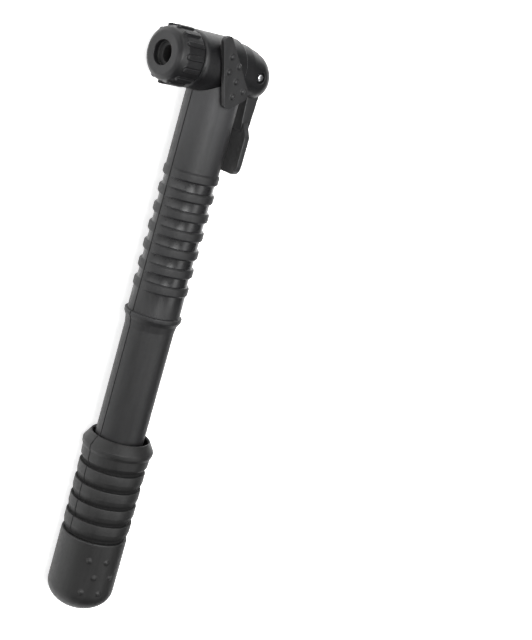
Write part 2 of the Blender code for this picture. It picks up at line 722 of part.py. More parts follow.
def build_fixed(frame):
    """Head, barrel and what is fixed to them."""
    part("head_body", head_body(), "black plastic", frame)
    part("side_plate", side_plate(), "satin plastic", frame)
    part("lever_pin", lever_pin(), "steel", frame)
    part("barrel_tube", barrel_tube(), "black plastic", frame)
    part("barrel_seal", seal_ring(SPIGOT_SEAL, SPIGOT_RADIUS - 0.55, 0.5, FINE_SIDES), "rubber", frame)
    part("rod_guide", rod_guide(), "inner plastic", frame)
    part("rod_wiper", ring(-190.4, -188.6, ROD_RADIUS + RUN_GAP, 4.6, FINE_SIDES), "felt", frame)
    part("valve_seat", valve_seat(), "brass", frame)
    part("check_spring", check_spring(), "steel", frame)


def build_head_movers(frame):
    """What turns and slides in the head."""
    part("check_ball", check_ball(), "steel", frame, (ball_centre(), 0.0, 0.0))
    part("lock_lever", lock_lever(), "black plastic", frame, (PIN_X, PIN_Y, 0.0))
    plunger_place = (0.0, PLUNGER_FRONT, 0.0)
    part("cam_plunger", cam_plunger(), "inner plastic", frame, plunger_place)
    part("plunger_seal", seal_ring(PLUNGER_SEAL, 5.55, 0.45, FINE_SIDES, "Y"), "rubber", frame, plunger_place)
    part("pin_depressor", pin_depressor(), "brass", frame, plunger_place)
    part("valve_grommet", valve_grommet(), "rubber", frame, (0.0, GROMMET_FRONT, 0.0))
    part("valve_cap", valve_cap(), "black plastic", frame, (0.0, CAP_FRONT, 0.0))


def build_handle(frame):
    """Piston, rod and handle, which slide along the barrel."""
    top = (PISTON_TOP, 0.0, 0.0)
    bottom = (CAVITY_END, 0.0, 0.0)
    part("piston", piston(), "inner plastic", frame, top)
    part("piston_cup", piston_cup(), "rubber", frame, top)
    part("piston_washer", piston_washer(), "steel", frame, top)
    part("piston_screw", piston_screw(), "steel", frame, top)
    part("piston_rod", piston_rod(), "aluminium", frame, top)
    part("handle_sleeve", handle_sleeve(), "black plastic", frame, bottom)
    part("handle_end_cap", handle_end_cap(), "black plastic", frame, bottom)
    part("rod_insert", rod_insert(), "brass", frame, bottom)
    part("bump_ring", bump_ring(), "rubber", frame, bottom)


def rest_on_floor(frame):
    """Moves the frame so that the pump's box stands on z = 0, centred on the world origin."""
    corners = []
    for item in frame.children:
        for vertex in item.data.vertices:
            corners.append(item.location + vertex.co)
    low = Vector([min(corner[axis] for corner in corners) for axis in range(3)])
    high = Vector([max(corner[axis] for corner in corners) for axis in range(3)])
    middle = (low + high) / 2
    frame.location = (-middle.x, -middle.y, -low.z)


def main():
    clear_scene()
    frame = bpy.data.objects.new("pump_frame", None)
    bpy.context.scene.collection.objects.link(frame)
    build_fixed(frame)
    build_head_movers(frame)
    build_handle(frame)
    rest_on_floor(frame)
    bpy.context.view_layer.update()


main()
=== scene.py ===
"""Looks of the bicycle mini pump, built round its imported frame.

The visible shells are made here again with fine roundings, mould seams and grip details, and
every part gets a procedural material. Lengths are in millimetres from the point where the
barrel's axis meets the head's axis: +X runs up the barrel, +Y is the way the valve opening
faces and +Z is up. finish_piece() turns a finished shape into metres in the frame.
"""

import math

import bmesh
import bpy
import numpy
from mathutils import Matrix, Vector


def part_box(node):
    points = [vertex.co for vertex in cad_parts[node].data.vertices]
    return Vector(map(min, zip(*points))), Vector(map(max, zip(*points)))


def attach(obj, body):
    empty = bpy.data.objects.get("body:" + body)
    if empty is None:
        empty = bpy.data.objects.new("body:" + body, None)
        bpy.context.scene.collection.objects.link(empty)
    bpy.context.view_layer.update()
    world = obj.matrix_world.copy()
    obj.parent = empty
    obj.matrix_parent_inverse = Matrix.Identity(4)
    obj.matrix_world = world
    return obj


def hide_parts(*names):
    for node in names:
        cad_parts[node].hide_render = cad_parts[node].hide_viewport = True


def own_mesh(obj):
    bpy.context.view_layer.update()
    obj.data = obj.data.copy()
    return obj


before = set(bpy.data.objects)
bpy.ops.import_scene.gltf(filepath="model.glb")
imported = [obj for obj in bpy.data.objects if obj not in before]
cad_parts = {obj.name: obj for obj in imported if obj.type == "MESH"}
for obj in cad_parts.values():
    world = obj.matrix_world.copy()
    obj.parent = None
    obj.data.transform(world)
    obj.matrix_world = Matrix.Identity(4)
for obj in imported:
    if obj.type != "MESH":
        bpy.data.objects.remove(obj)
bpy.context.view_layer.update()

MM = 0.001
SIDES = 144                 # facets round the smooth turned shells
FINE_SIDES = 72             # facets round small turned parts
VOXEL = 0.23                # cell of the remeshed mouldings
FINE_VOXEL = 0.15           # cell of the mouldings with small raised details

# Frame: the two axes cross at ORIGIN
HEAD_RADIUS = 10.1
HEAD_LOW, HEAD_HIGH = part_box("head_body")
ROD_LOW, ROD_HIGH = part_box("piston_rod")
ORIGIN = Vector((HEAD_HIGH.x - HEAD_RADIUS * MM, (ROD_LOW.y + ROD_HIGH.y) / 2, (ROD_LOW.z + ROD_HIGH.z) / 2))

# Barrel
KEEL_SHIFT = 0.35           # the outside stands this far toward +Y from the bore
LENS = 0.08                 # how far each half's centre lies past the axis, as a share
SEAM_HALF = 0.32            # half the width of a mould seam
SEAM_DEPTH = 0.26
BARREL_TOP = -5.0
BARREL_END = -196.0
BARREL_RADIUS = 9.62
BARREL_FOOT_RADIUS = 9.15
BARREL_BORE = 7.6
COLLAR_TOP = -91.5
COLLAR_RADIUS = 10.6
COLLAR_FOOT = -97.3
RIB_COUNT = 7
RIB_FIRST = -37.9
RIB_PITCH = 6.92
RIB_WIDTH = 3.5
RIB_RADIUS = 10.1
RIB_VALLEY = 9.2
RIB_FADE = math.radians(20) # the ribs sink into the wall over this angle beside a seam
LOW_RIB_FADE = math.radians(44)     # and more slowly on the underside

# Handle
HANDLE_BORE = 10.45
HANDLE_RADIUS = 12.5
HANDLE_MOUTH = -139.75
LIP_RADIUS = 13.38
LIP_TOP = -143.3
MOUTH_RADIUS = 11.15
GROOVE_RADIUS = 11.45
RING_COUNT = 4
RING_FIRST = -151.75
RING_PITCH = 6.66
SLEEVE_END = -186.0
END_CAP_TOP = -178.9
DOME_START = -199.85
DOME_LENGTH = 9.15
CAVITY_END = -200.5
INSERT_POCKET = -206.3
INSERT_RADIUS = 5.1
CAP_STUD_ROWS = (-185.8, -192.2, -198.5)
CAP_STUD_ANGLE = math.radians(49.8)
CAP_STUD_STEP = math.radians(16.0)
CAP_STUD_RADIUS = 0.95
CAP_STUD_HEIGHT = 0.5

# Rod and bush
ROD_RADIUS = 3.0
ROD_BORE = 1.7
ROD_GAP = 0.15
ROD_TOP = -27.3
ROD_END = -205.8
GUIDE_TOP = -184.5
GUIDE_END = -198.4
GUIDE_FLANGE = 8.7
WIPER_LOW = -190.7
WIPER_HIGH = -188.3
WIPER_RADIUS = 4.9
AIR_HOLE = 0.6
AIR_HOLE_CIRCLE = 6.15

# Head
HEAD_REAR = -3.0
HEAD_FRONT = 17.3
NECK_RADIUS = 8.6
NECK_END = 24.8
CHAMBER_RADIUS = 6.3
CHAMBER_REAR = -5.0
STEM_BORE = 3.2
LOBE_FRONT_RADIUS = 8.95
LOBE_RADIUS = 8.6
LOBE_Y = -12.9
LOBE_BEND = -8.0
LOBE_LEAN = 0.2
SPIGOT_RADIUS = 7.3
SPIGOT_END = -20.1
PLATE_INNER = 9.9
PLATE_OUTER = 11.6
PLATE_VOXEL = 0.13
BOSS_INSET = 0.4            # the boss under the plate stands inside its outline
BOSS_FOOT = 2.0
BOSS_LOW = -4.0             # it stops here, clear of the barrel
BOSS_SLOPE = Vector((0.33, 1.14))   # it slopes back into the lobe
PLATE_CORNERS = ((10.1, 13.5, 1.8), (-12.9, 4.7, 1.5), (-13.5, 2.2, 2.0), (-7.9, -5.9, 2.4), (11.3, 9.9, 1.5))
STUD_RADIUS = 1.0
STUD_HEIGHT = 0.8
STUD_FIRST = Vector((4.45, 7.45))
STUD_ALONG = Vector((-5.2, -0.3))
STUD_ACROSS = Vector((-2.8, -4.5))
STUD_GRID = ((0, 0), (0, 1), (1, 0), (1, 1), (1, 2), (2, 1))

# Lever
PIN = (-0.8, -12.0)
PIN_RADIUS = 1.25
PIN_HALF = 8.5
COUNTERBORE_RADIUS = 2.05
COUNTERBORE_Z = 7.2
SLOT_HALF = 3.5
LEVER_HALF = 3.2
CAM_LOW = 3.6
CAM_RISE = 1.5
ARM_FRONT = 1.5
ARM_REAR = 7.3
ARM_END = -21.0
PADDLE_INNER = 15.0
PADDLE_OUTER = 17.2
PADDLE_HALF = 8.0
PADDLE_END = -36.9
PADDLE_TOP = -17.5
PADDLE_SHOULDER = -22.5
PIN_GAP = 0.15

# Valve end
CAP_REAR = 17.5
CAP_FRONT = 28.4
CAP_RADIUS = 9.65
CAP_BORE = 8.9
CAP_HOLE = 4.33
CAP_WEB = 26.7
BAR_COUNT = 14
BAR_RADIUS = 10.38
BAR_HALF = 0.85
BAR_REAR = 18.6
BAR_FRONT = 25.8
BAR_PHASE = math.radians(83.4)
GROMMET_REAR = 14.2
GROMMET_FRONT = 26.4
GROMMET_RADIUS = 6.0
GROMMET_NARROW = 2.95
GROMMET_WIDE = 3.9

# Spring of the check valve, between the ball and its pocket's end
SPRING_LOW, SPRING_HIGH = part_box("check_spring")
SPRING_RADIUS = 1.3
SPRING_WIRE = 0.22
SPRING_TURNS = 4
SPRING_STEPS = 32           # rings round each turn
WIRE_SIDES = 12

# Camera, floor and light
VIEW_FROM = Vector((31.98, 370.3, 376.0))
VIEW_ALONG = Vector((-0.21329, -0.73588, -0.64264))
VIEW_UP = Vector((0.93828, 0.02904, -0.34466))
LENS_LENGTH = 84.05
BRIGHT_SIDE = (0.5, 0.45, 0.75)
FLOOR_SIZE = 8.0            # in metres
FLOOR_GLOW = 0.7
BACKDROP_RADIUS = 6.0       # in metres
PLASTIC_SHEEN = 0.3         # matt plastic mirrors less than a polished one


# Shapes

def place(axis, along, across, up, centre=(0.0, 0.0)):
    """Point at a distance along an axis, and off it by the other two axes in order."""
    across += centre[0]
    up += centre[1]
    if axis == "X":
        return along, across, up
    if axis == "Y":
        return across, along, up
    return across, up, along


def new_object(shape):
    """Scene object from a bmesh, with its faces pointing out."""
    bmesh.ops.recalc_face_normals(shape, faces=shape.faces)
    mesh = bpy.data.meshes.new("shape")
    shape.to_mesh(mesh)
    shape.free()
    item = bpy.data.objects.new("shape", mesh)
    bpy.context.scene.collection.objects.link(item)
    return item


def arc(centre, reach_along, reach_out, first, last, steps):
    """Points on an ellipse quarter or more, by degrees from the direction of its first axis."""
    points = []
    for step in range(steps + 1):
        angle = math.radians(first + (last - first) * step / steps)
        points.append((centre[0] + reach_along * math.cos(angle), centre[1] + reach_out * math.sin(angle)))
    return points


def rounded(corners, steps=4):
    """Outline through (x, y, radius) corners, each rounded by an arc, or sharp where the radius is 0."""
    points = []
    count = len(corners)
    for index, (x, y, radius) in enumerate(corners):
        corner = Vector((x, y))
        before = (Vector(corners[index - 1][:2]) - corner).normalized()
        after = (Vector(corners[(index + 1) % count][:2]) - corner).normalized()
        opening = before.angle(after)
        if radius == 0 or opening > math.radians(178):
            points.append((x, y))
            continue
        middle = corner + (before + after).normalized() * radius / math.sin(opening / 2)
        start = corner + before * radius / math.tan(opening / 2) - middle
        end = corner + after * radius / math.tan(opening / 2) - middle
        sweep = start.angle_signed(end)
        for step in range(steps + 1):
            points.append(tuple(middle + Matrix.Rotation(-sweep * step / steps, 2) @ start))
    return points


def even_angles(sides):
    return [2 * math.pi * step / sides for step in range(sides)]


def seamed_angles(sides, seams):
    """Even steps round a circle, with more of them close to each mould seam."""
    close = (-2.2, -1.2, 0.0, 1.2, 2.2)
    angles = []
    for angle in even_angles(sides):
        if all(abs(math.remainder(angle - seam, 2 * math.pi)) > math.radians(2.4) for seam in seams):
            angles.append(angle)
    for seam in seams:
        angles += [(seam + math.radians(step)) % (2 * math.pi) for step in close]
    return sorted(angles)


def add_turned(shape, outline, angles, axis, centre=(0.0, 0.0), form=None):
    """Adds a closed outline of (along, radius) points, turned about an axis; returns its corners."""
    rings = []
    for along, radius in outline:
        if abs(radius) < 1e-6:
            rings.append([shape.verts.new(place(axis, along, 0.0, 0.0, centre))])
            continue
        ring = []
        for angle in angles:
            reach = form(along, radius, angle) if form else radius
            across = reach * math.cos(angle)
            up = reach * math.sin(angle)
            ring.append(shape.verts.new(place(axis, along, across, up, centre)))
        rings.append(ring)
    sides = len(angles)
    for ring, following in zip(rings, rings[1:] + rings[:1]):
        if len(ring) == 1 and len(following) == 1:
            continue
        for step in range(sides):
            corners = [ring[step % len(ring)], ring[(step + 1) % len(ring)]]
            corners += [following[(step + 1) % len(following)], following[step % len(following)]]
            shape.faces.new(list(dict.fromkeys(corners)))
    return [corner for ring in rings for corner in ring]


def turned(outline, sides=SIDES, axis="X", centre=(0.0, 0.0), form=None, seams=()):
    """Solid turned about an axis from a closed outline of (along, radius) points."""
    shape = bmesh.new()
    angles = seamed_angles(sides, seams) if seams else even_angles(sides)
    add_turned(shape, outline, angles, axis, centre, form)
    return new_object(shape)


def cylinder(low, high, radius, sides=FINE_SIDES, axis="X", centre=(0.0, 0.0)):
    return turned(((low, 0.0), (low, radius), (high, radius), (high, 0.0)), sides, axis, centre)


def add_prism(shape, outline, low, high, axis="Z"):
    """Adds a flat outline, extruded along an axis; returns its corners."""
    floor = [shape.verts.new(place(axis, low, *point)) for point in outline]
    roof = [shape.verts.new(place(axis, high, *point)) for point in outline]
    shape.faces.new(floor)
    shape.faces.new(roof)
    count = len(outline)
    for index in range(count):
        following = (index + 1) % count
        shape.faces.new((floor[index], floor[following], roof[following], roof[index]))
    return floor + roof


def prism(outline, low, high, axis="Z"):
    shape = bmesh.new()
    add_prism(shape, outline, low, high, axis)
    return new_object(shape)


def block(low, high):
    outline = ((low[0], low[1]), (high[0], low[1]), (high[0], high[1]), (low[0], high[1]))
    return prism(outline, low[2], high[2])


def grown(corners, gap):
    """The same rounded corners, moved out from their middle by about the gap."""
    middle = sum((Vector(corner[:2]) for corner in corners), Vector((0.0, 0.0))) / len(corners)
    moved = []
    for x, y, radius in corners:
        away = Vector((x, y)) - middle
        reach = middle + away * (1 + 2 * gap / away.length)
        moved.append((reach.x, reach.y, radius + gap))
    return moved


def settle(item):
    """Applies the modifiers of an object to its mesh."""
    graph = bpy.context.evaluated_depsgraph_get()
    mesh = bpy.data.meshes.new_from_object(item.evaluated_get(graph))
    item.modifiers.clear()
    item.data = mesh
    return item


def combine(base, tool, operation):
    """Unites, cuts or intersects two solids, keeps the first and removes the second."""
    modifier = base.modifiers.new("combine", "BOOLEAN")
    modifier.operation = operation
    modifier.object = tool
    settle(base)
    bpy.data.objects.remove(tool)
    return base


def join(base, tool):
    return combine(base, tool, "UNION")


def cut(base, tool):
    return combine(base, tool, "DIFFERENCE")


def melted(item, cell, rounds):
    """Even mesh of the same solid, with its edges and corners softened as in a moulding."""
    remesh = item.modifiers.new("melt", "REMESH")
    remesh.mode = "VOXEL"
    remesh.voxel_size = cell
    smooth = item.modifiers.new("soften", "SMOOTH")
    smooth.factor = 0.5
    smooth.iterations = rounds
    return settle(item)


# Materials

def node(tree, kind, inputs=(), **settings):
    """New shader node with its settings, and with values or links on its inputs."""
    made = tree.nodes.new(kind)
    for name, value in settings.items():
        setattr(made, name, value)
    for name, value in dict(inputs).items():
        if isinstance(value, bpy.types.NodeSocket):
            tree.links.new(value, made.inputs[name])
        else:
            made.inputs[name].default_value = value
    return made


def noise(tree, where, scale, detail=2.0, roughness=0.5):
    """Noise with its scale in steps per millimetre."""
    settings = {"Vector": where, "Scale": scale / MM, "Detail": detail, "Roughness": roughness}
    return node(tree, "ShaderNodeTexNoise", settings).outputs["Fac"]


def spread(tree, value, low, high, to_low, to_high):
    """A value from one range spread over another, held at its ends."""
    inputs = {"Value": value, "From Min": low, "From Max": high, "To Min": to_low, "To Max": to_high}
    return node(tree, "ShaderNodeMapRange", inputs).outputs["Result"]


def mixed(tree, share, first, second):
    """Colour between two colours, which are sockets or (r, g, b)."""
    made = node(tree, "ShaderNodeMix", data_type="RGBA")
    for index, value in ((0, share), (6, first), (7, second)):
        if isinstance(value, bpy.types.NodeSocket):
            tree.links.new(value, made.inputs[index])
        elif index:
            made.inputs[index].default_value = (*value, 1.0)
        else:
            made.inputs[index].default_value = value
    return made.outputs[2]


def scaled(colour, share):
    return tuple(part * share for part in colour)


def start_material(name):
    """New material: its node tree, its shader and its object coordinates."""
    made = bpy.data.materials.new(name)
    made.use_nodes = True
    tree = made.node_tree
    shader = tree.nodes["Principled BSDF"]
    where = node(tree, "ShaderNodeTexCoord").outputs["Object"]
    return made, tree, shader, where


def stretched(tree, where, along):
    """Coordinates that make a noise long along X."""
    settings = {"Vector": where, "Scale": (1 / along, 1.0, 1.0)}
    return node(tree, "ShaderNodeMapping", settings).outputs["Vector"]


def bump(tree, height, distance, strength=1.0, under=None):
    """Normal from a height field, over another normal if there is one."""
    inputs = {"Height": height, "Distance": distance * MM, "Strength": strength}
    if under:
        inputs["Normal"] = under
    return node(tree, "ShaderNodeBump", inputs).outputs["Normal"]


def moulded_plastic(name, colour, roughness, grain=0.012, glossy_zones=False):
    """Black moulded plastic: flow marks, spark-eroded grain, painted shade in hollows, seams and grooves, and
    rubbed edges lightened as wear and as a painted highlight.
    """
    made, tree, shader, where = start_material(name)
    flow = noise(tree, stretched(tree, where, 6.0), 0.35, 3.0)
    tint = mixed(tree, spread(tree, flow, 0.3, 0.7, 0.0, 1.0), scaled(colour, 0.8), scaled(colour, 1.25))
    edge = node(tree, "ShaderNodeAttribute", attribute_name="edge").outputs["Fac"]
    # convex edges lightened: partly wear, partly a painted highlight along them
    rubbed_and_highlit = spread(tree, edge, 0.04, 0.2, 0.0, 0.75)
    tint = mixed(tree, rubbed_and_highlit, tint, scaled(colour, 3.5))
    # painted shade: hollows and the feet of raised details are darkened
    hollow_shade = spread(tree, edge, -0.04, -0.16, 0.0, 0.85)
    tint = mixed(tree, hollow_shade, tint, scaled(colour, 0.2))
    # painted shade in the seams and the handle's grooves; the same mask also makes them rougher
    seam_and_groove_shade = node(tree, "ShaderNodeAttribute", attribute_name="seam_and_groove_shade").outputs["Fac"]
    tint = mixed(tree, seam_and_groove_shade, tint, scaled(colour, 0.1))
    tree.links.new(tint, shader.inputs["Base Color"])
    patches = noise(tree, where, 0.9, 4.0, 0.6)
    dull = spread(tree, patches, 0.3, 0.7, roughness - 0.05, roughness + 0.07)
    if glossy_zones:
        gloss = node(tree, "ShaderNodeAttribute", attribute_name="gloss").outputs["Fac"]
        sheen = node(tree, "ShaderNodeMath", {0: gloss, 1: -0.2, 2: dull}, operation="MULTIPLY_ADD")
        dull = sheen.outputs["Value"]
    matt = node(tree, "ShaderNodeMath", {0: seam_and_groove_shade, 1: 0.4, 2: dull}, operation="MULTIPLY_ADD")
    tree.links.new(matt.outputs["Value"], shader.inputs["Roughness"])
    shader.inputs["Specular IOR Level"].default_value = PLASTIC_SHEEN
    sinks = bump(tree, noise(tree, where, 0.12, 1.0), 0.05)
    pores = bump(tree, noise(tree, where, 3.2, 3.0, 0.6), grain, 1.0, sinks)
    tree.links.new(pores, shader.inputs["Normal"])
    return made


def soft_rubber(name, colour):
    """Matte rubber with a dusty bloom."""
    made, tree, shader, where = start_material(name)
    bloom = noise(tree, where, 0.8, 5.0, 0.65)
    tint = mixed(tree, spread(tree, bloom, 0.35, 0.7, 0.0, 1.0), colour, scaled(colour, 2.2))
    tree.links.new(tint, shader.inputs["Base Color"])
    tree.links.new(spread(tree, bloom, 0.3, 0.7, 0.62, 0.82), shader.inputs["Roughness"])
    tree.links.new(bump(tree, noise(tree, where, 2.2, 3.0), 0.02), shader.inputs["Normal"])
    return made


def worked_metal(name, colour, roughness, lines=1.0):
    """Bare metal with fine tool lines along X and faint tarnish."""
    made, tree, shader, where = start_material(name)
    shader.inputs["Metallic"].default_value = 1.0
    tarnish = noise(tree, where, 0.5, 4.0, 0.6)
    tint = mixed(tree, spread(tree, tarnish, 0.35, 0.75, 0.0, 1.0), colour, scaled(colour, 0.72))
    tree.links.new(tint, shader.inputs["Base Color"])
    streaks = noise(tree, stretched(tree, where, 25.0), 4.0, 2.0)
    dull = spread(tree, streaks, 0.3, 0.7, roughness - 0.06, roughness + 0.1)
    tree.links.new(dull, shader.inputs["Roughness"])
    tree.links.new(bump(tree, streaks, 0.008 * lines), shader.inputs["Normal"])
    return made


def natural_plastic(name, colour):
    """Pale acetal of the inner mouldings, greyed by grease."""
    made, tree, shader, where = start_material(name)
    grease = noise(tree, where, 0.45, 4.0, 0.6)
    tint = mixed(tree, spread(tree, grease, 0.4, 0.75, 0.0, 1.0), colour, scaled(colour, 0.6))
    tree.links.new(tint, shader.inputs["Base Color"])
    tree.links.new(spread(tree, grease, 0.3, 0.7, 0.48, 0.22), shader.inputs["Roughness"])
    tree.links.new(bump(tree, noise(tree, where, 1.5, 2.0), 0.012), shader.inputs["Normal"])
    return made


def matted_felt(name, colour):
    """Felt of the rod's wiper, with tangled fibres."""
    made, tree, shader, where = start_material(name)
    fibres = noise(tree, stretched(tree, where, 3.0), 5.0, 6.0, 0.75)
    tint = mixed(tree, spread(tree, fibres, 0.3, 0.7, 0.0, 1.0), scaled(colour, 0.55), scaled(colour, 1.3))
    tree.links.new(tint, shader.inputs["Base Color"])
    tree.links.new(spread(tree, fibres, 0.3, 0.7, 0.85, 1.0), shader.inputs["Roughness"])
    tree.links.new(bump(tree, fibres, 0.12), shader.inputs["Normal"])
    return made


def floor_paper(name):
    """White studio paper with a faint tooth."""
    made, tree, shader, where = start_material(name)
    tooth = noise(tree, where, 0.4, 4.0)
    tint = mixed(tree, spread(tree, tooth, 0.3, 0.7, 0.0, 1.0), (0.90, 0.90, 0.90), (0.93, 0.93, 0.93))
    tree.links.new(tint, shader.inputs["Base Color"])
    shader.inputs["Roughness"].default_value = 0.9
    shader.inputs["Emission Color"].default_value = (1.0, 1.0, 1.0, 1.0)
    shader.inputs["Emission Strength"].default_value = FLOOR_GLOW
    return made


BARREL_PLASTIC = moulded_plastic("barrel_plastic", (0.011, 0.011, 0.0115), 0.50, 0.006, True)
HANDLE_PLASTIC = moulded_plastic("handle_plastic", (0.010, 0.010, 0.010), 0.50, 0.008)
HEAD_PLASTIC = moulded_plastic("head_plastic", (0.006, 0.006, 0.0065), 0.40, 0.012)
CAP_PLASTIC = moulded_plastic("cap_plastic", (0.006, 0.006, 0.0065), 0.42, 0.008)
PLATE_PLASTIC = moulded_plastic("plate_plastic", (0.014, 0.014, 0.0145), 0.50, 0.014)
LEVER_PLASTIC = moulded_plastic("lever_plastic", (0.016, 0.016, 0.0165), 0.48, 0.012)
RUBBER = soft_rubber("black_rubber", (0.008, 0.008, 0.008))
STEEL = worked_metal("bright_steel", (0.80, 0.80, 0.82), 0.22)
ALUMINIUM = worked_metal("drawn_aluminium", (0.83, 0.83, 0.85), 0.30, 1.5)
BRASS = worked_metal("turned_brass", (0.78, 0.58, 0.27), 0.33)
ACETAL = natural_plastic("greased_acetal", (0.62, 0.62, 0.59))
FELT = matted_felt("wiper_felt", (0.34, 0.32, 0.29))


# Pieces

def mark_edges(item):
    """Marks how far each corner stands out, above zero, or lies in a hollow, below zero."""
    mesh = item.data
    count = len(mesh.vertices)
    places = numpy.empty(3 * count)
    mesh.vertices.foreach_get("co", places)
    places = places.reshape(-1, 3)
    normals = numpy.empty(3 * count)
    mesh.vertices.foreach_get("normal", normals)
    normals = normals.reshape(-1, 3)
    ends = numpy.empty(2 * len(mesh.edges), dtype=numpy.int32)
    mesh.edges.foreach_get("vertices", ends)
    first, second = ends.reshape(-1, 2).T
    steps = places[second] - places[first]
    steps /= numpy.maximum(numpy.linalg.norm(steps, axis=1), 1e-9)[:, None]
    lean = numpy.bincount(first, -(steps * normals[first]).sum(axis=1), count)
    lean += numpy.bincount(second, (steps * normals[second]).sum(axis=1), count)
    around = numpy.bincount(first, minlength=count) + numpy.bincount(second, minlength=count)
    around = numpy.maximum(around, 1)
    lean /= around
    for _ in range(2):
        nearby = numpy.bincount(first, lean[second], count) + numpy.bincount(second, lean[first], count)
        lean = (lean + nearby / around) / 2
    mesh.attributes.new("edge", "FLOAT", "POINT").data.foreach_set("value", lean.astype(numpy.float32))


def finish_piece(name, item, look, body, slot, *stands_for):
    """Stands a finished shape in the frame, in metres, on its body."""
    mark_edges(item)
    item.name = name
    item.data.name = name
    item.data.transform(Matrix.Translation(ORIGIN) @ Matrix.Scale(MM, 4))
    item.data.materials.clear()
    item.data.materials.append(look)
    item.data.shade_smooth()
    item.data.set_sharp_from_angle(angle=math.radians(38))
    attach(item, body)
    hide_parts(*stands_for)
    return item


def barrel_lens(angle):
    """Reach of the barrel's section at an angle from its moulded edge, as a share of its radius."""
    def reach(lift):
        return math.sqrt(LENS * LENS * lift * lift + 1 + 2 * LENS) - LENS * lift
    return reach(abs(math.sin(angle))) / reach(math.sin(math.pi / 4))


def seam_drop(angle, radius, seams):
    """Depth of the mould seam's groove at an angle."""
    for seam in seams:
        off = abs(math.remainder(angle - seam, 2 * math.pi)) * radius
        if off < SEAM_HALF:
            return SEAM_DEPTH * (1 - off / SEAM_HALF)
    return 0.0


BARREL_SEAMS = (0.0, math.pi)


def mark_seam_and_groove_shade(item, deepest=0.0, grooves=(0.0, 0.0)):
    """Marks where painted shade darkens the mould seams and, between two places along X, the grooves."""
    marks = item.data.attributes.new("seam_and_groove_shade", "FLOAT", "POINT")
    for vertex in item.data.vertices:
        angle = math.atan2(vertex.co.z, vertex.co.y)
        off = min(abs(math.remainder(angle - seam, 2 * math.pi)) for seam in BARREL_SEAMS)
        shade_share = max(0.0, 1 - math.degrees(off) / 2.2)
        if grooves[1] < vertex.co.x < grooves[0]:
            sunk = (HANDLE_RADIUS - 0.08 - math.hypot(vertex.co.y, vertex.co.z)) / deepest
            shade_share = max(shade_share, 0.85 * min(1.0, max(0.0, sunk)))
        marks.data[vertex.index].value = shade_share


def barrel_form(along, radius, angle):
    """Lens section with two seams; the ribs sink into the wall beside each seam."""
    if radius <= BARREL_BORE:
        return radius
    in_ribs = RIB_FIRST - RIB_COUNT * RIB_PITCH < along < RIB_FIRST + 0.1
    if in_ribs:
        beside = min(abs(math.remainder(angle - seam, 2 * math.pi)) for seam in BARREL_SEAMS)
        share = min(1.0, beside / (RIB_FADE if math.sin(angle) > 0 else LOW_RIB_FADE))
        share = share * share * (3 - 2 * share)
        radius = BARREL_RADIUS + (radius - BARREL_RADIUS) * share
    return radius * barrel_lens(angle) - seam_drop(angle, radius, BARREL_SEAMS)


def barrel_shell():
    """Ribbed outer tube with its collar, saddle cut and open lower end."""
    points = [(BARREL_TOP, BARREL_BORE, 0.0), (BARREL_TOP, BARREL_RADIUS, 0.0)]
    for index in range(RIB_COUNT):
        top = RIB_FIRST - index * RIB_PITCH
        points += [(top + 0.1, BARREL_RADIUS if index == 0 else RIB_VALLEY, 0.12)]
        points += [(top, RIB_VALLEY + 0.5, 0.1)]
        points += [(top - 0.6, RIB_RADIUS, 0.4), (top - RIB_WIDTH + 0.5, RIB_RADIUS, 0.4)]
        points += [(top - RIB_WIDTH, RIB_VALLEY + 0.45, 0.1)]
        last = index == RIB_COUNT - 1
        points += [(top - RIB_WIDTH - 0.1, BARREL_RADIUS if last else RIB_VALLEY, 0.12)]
    points += [(COLLAR_TOP, BARREL_RADIUS, 0.15), (COLLAR_TOP, COLLAR_RADIUS, 0.3)]
    points += [(COLLAR_TOP - 1.5, COLLAR_RADIUS - 0.1, 0.6)]
    points += [(COLLAR_TOP - 3.0, BARREL_FOOT_RADIUS + 0.45, 2.0)]
    points += [(COLLAR_FOOT, BARREL_FOOT_RADIUS, 2.0), (BARREL_END, BARREL_FOOT_RADIUS, 0.4)]
    points += [(BARREL_END, BARREL_BORE, 0.3)]
    tube = turned(rounded(points), SIDES, "X", (KEEL_SHIFT, 0.0), barrel_form, BARREL_SEAMS)
    for vertex in tube.data.vertices:
        reach = math.hypot(vertex.co.y - KEEL_SHIFT, vertex.co.z)
        if reach < BARREL_BORE + 0.05:
            vertex.co.y -= KEEL_SHIFT
    cut(tube, cylinder(HEAD_REAR - 10, CAP_REAR, HEAD_RADIUS + 0.12, SIDES, "Y"))
    cut(tube, block((-LOBE_RADIUS - 1.0, -20.0, -20.0), (0.0, HEAD_REAR + 0.12, 20.0)))
    gloss = tube.data.attributes.new("gloss", "FLOAT", "POINT")
    for vertex in tube.data.vertices:
        step = (RIB_FIRST - vertex.co.x) % RIB_PITCH
        in_ribs = RIB_FIRST - RIB_COUNT * RIB_PITCH + 2 < vertex.co.x < RIB_FIRST
        gloss.data[vertex.index].value = 1.0 if in_ribs and step > RIB_WIDTH else 0.0
    # painted shade along the barrel's seams
    mark_seam_and_groove_shade(tube)
    finish_piece("barrel_shell", tube, BARREL_PLASTIC, "pump", "black_plastic", "barrel_tube")


def handle_form(along, radius, angle):
    """Round, with two faint seams on the outside."""
    if radius <= HANDLE_BORE + 0.3:
        return radius
    return radius - 0.6 * seam_drop(angle, radius, BARREL_SEAMS)


